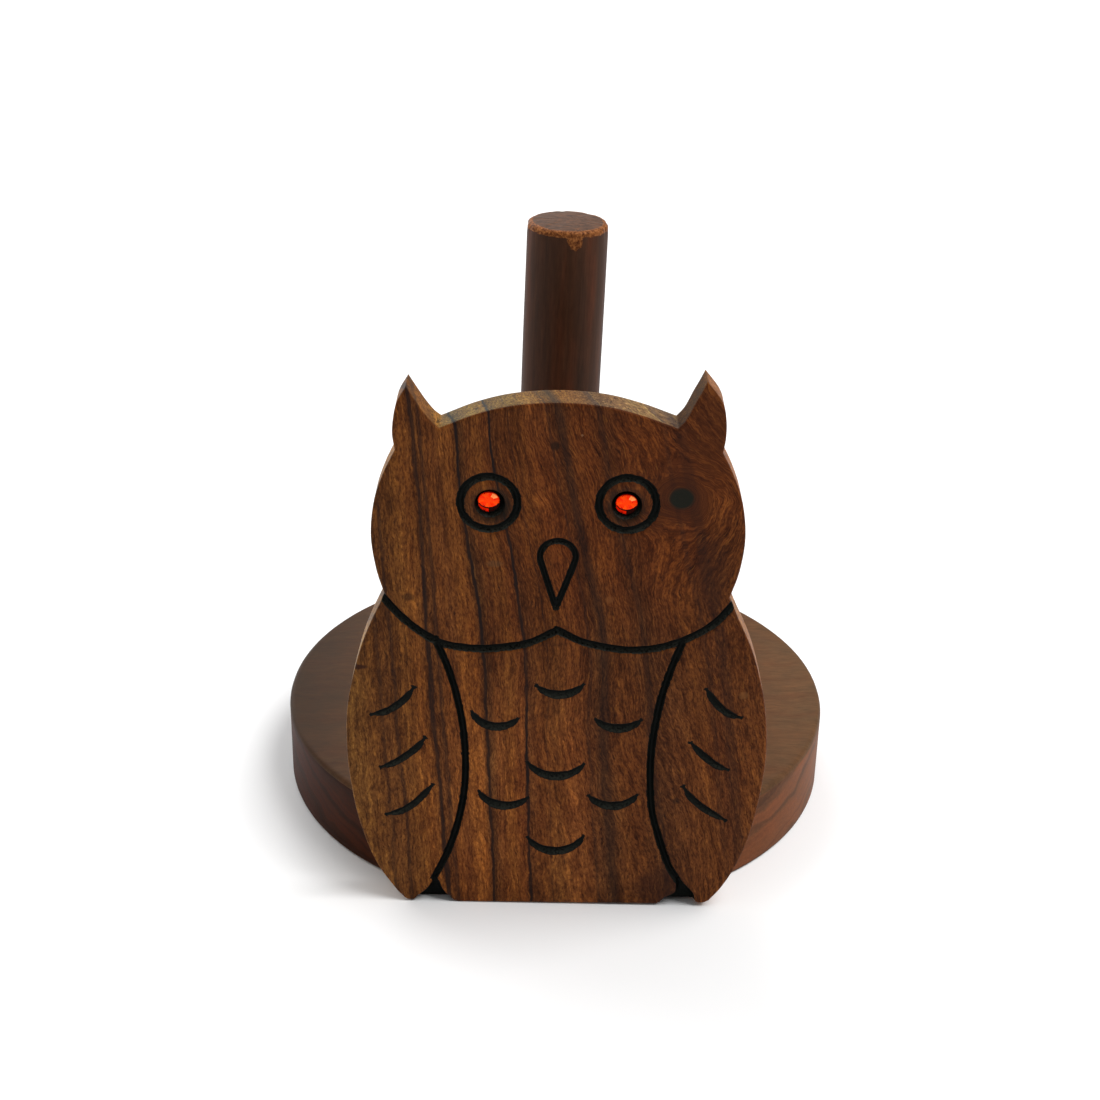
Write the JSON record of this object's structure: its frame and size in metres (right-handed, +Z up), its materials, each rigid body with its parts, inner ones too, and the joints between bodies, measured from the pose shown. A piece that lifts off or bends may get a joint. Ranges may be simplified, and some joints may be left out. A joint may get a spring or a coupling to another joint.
{
  "type": "owl-shaped paper roll holder",
  "caption": "Wooden roll holder: a carved owl board stands in front of a thick round base with an upright post that takes a paper roll.",
  "frame": {"origin": "centre of the round base on its underside, on the table", "axes": "+Z up along the object, -Y the way the owl faces, +X to the right as a viewer in front sees it"},
  "size_m": [0.178, 0.1756, 0.1872],
  "materials": {
    "base_wood": "oiled dark rosewood, satin",
    "post_wood": "oiled dark rosewood, satin, worn at the top",
    "board_wood": "polished streaked rosewood, grooves painted black",
    "eye_glass": "clear orange-red stone, polished",
    "nail_steel": "bright wire nail",
    "screw_steel": "zinc plated",
    "wood_filler": "dark matt filler"
  },
  "bodies": {
    "root": {"base_disc": "base_wood", "roll_post": "post_wood", "post_screw": "screw_steel", "owl_board": "board_wood", "eye_gem_left": "eye_glass", "eye_gem_right": "eye_glass", "board_nail_left": "nail_steel", "board_nail_centre": "nail_steel", "board_nail_right": "nail_steel", "nail_filler_left": "wood_filler", "nail_filler_centre": "wood_filler", "nail_filler_right": "wood_filler"}
  },
  "joints": []
}
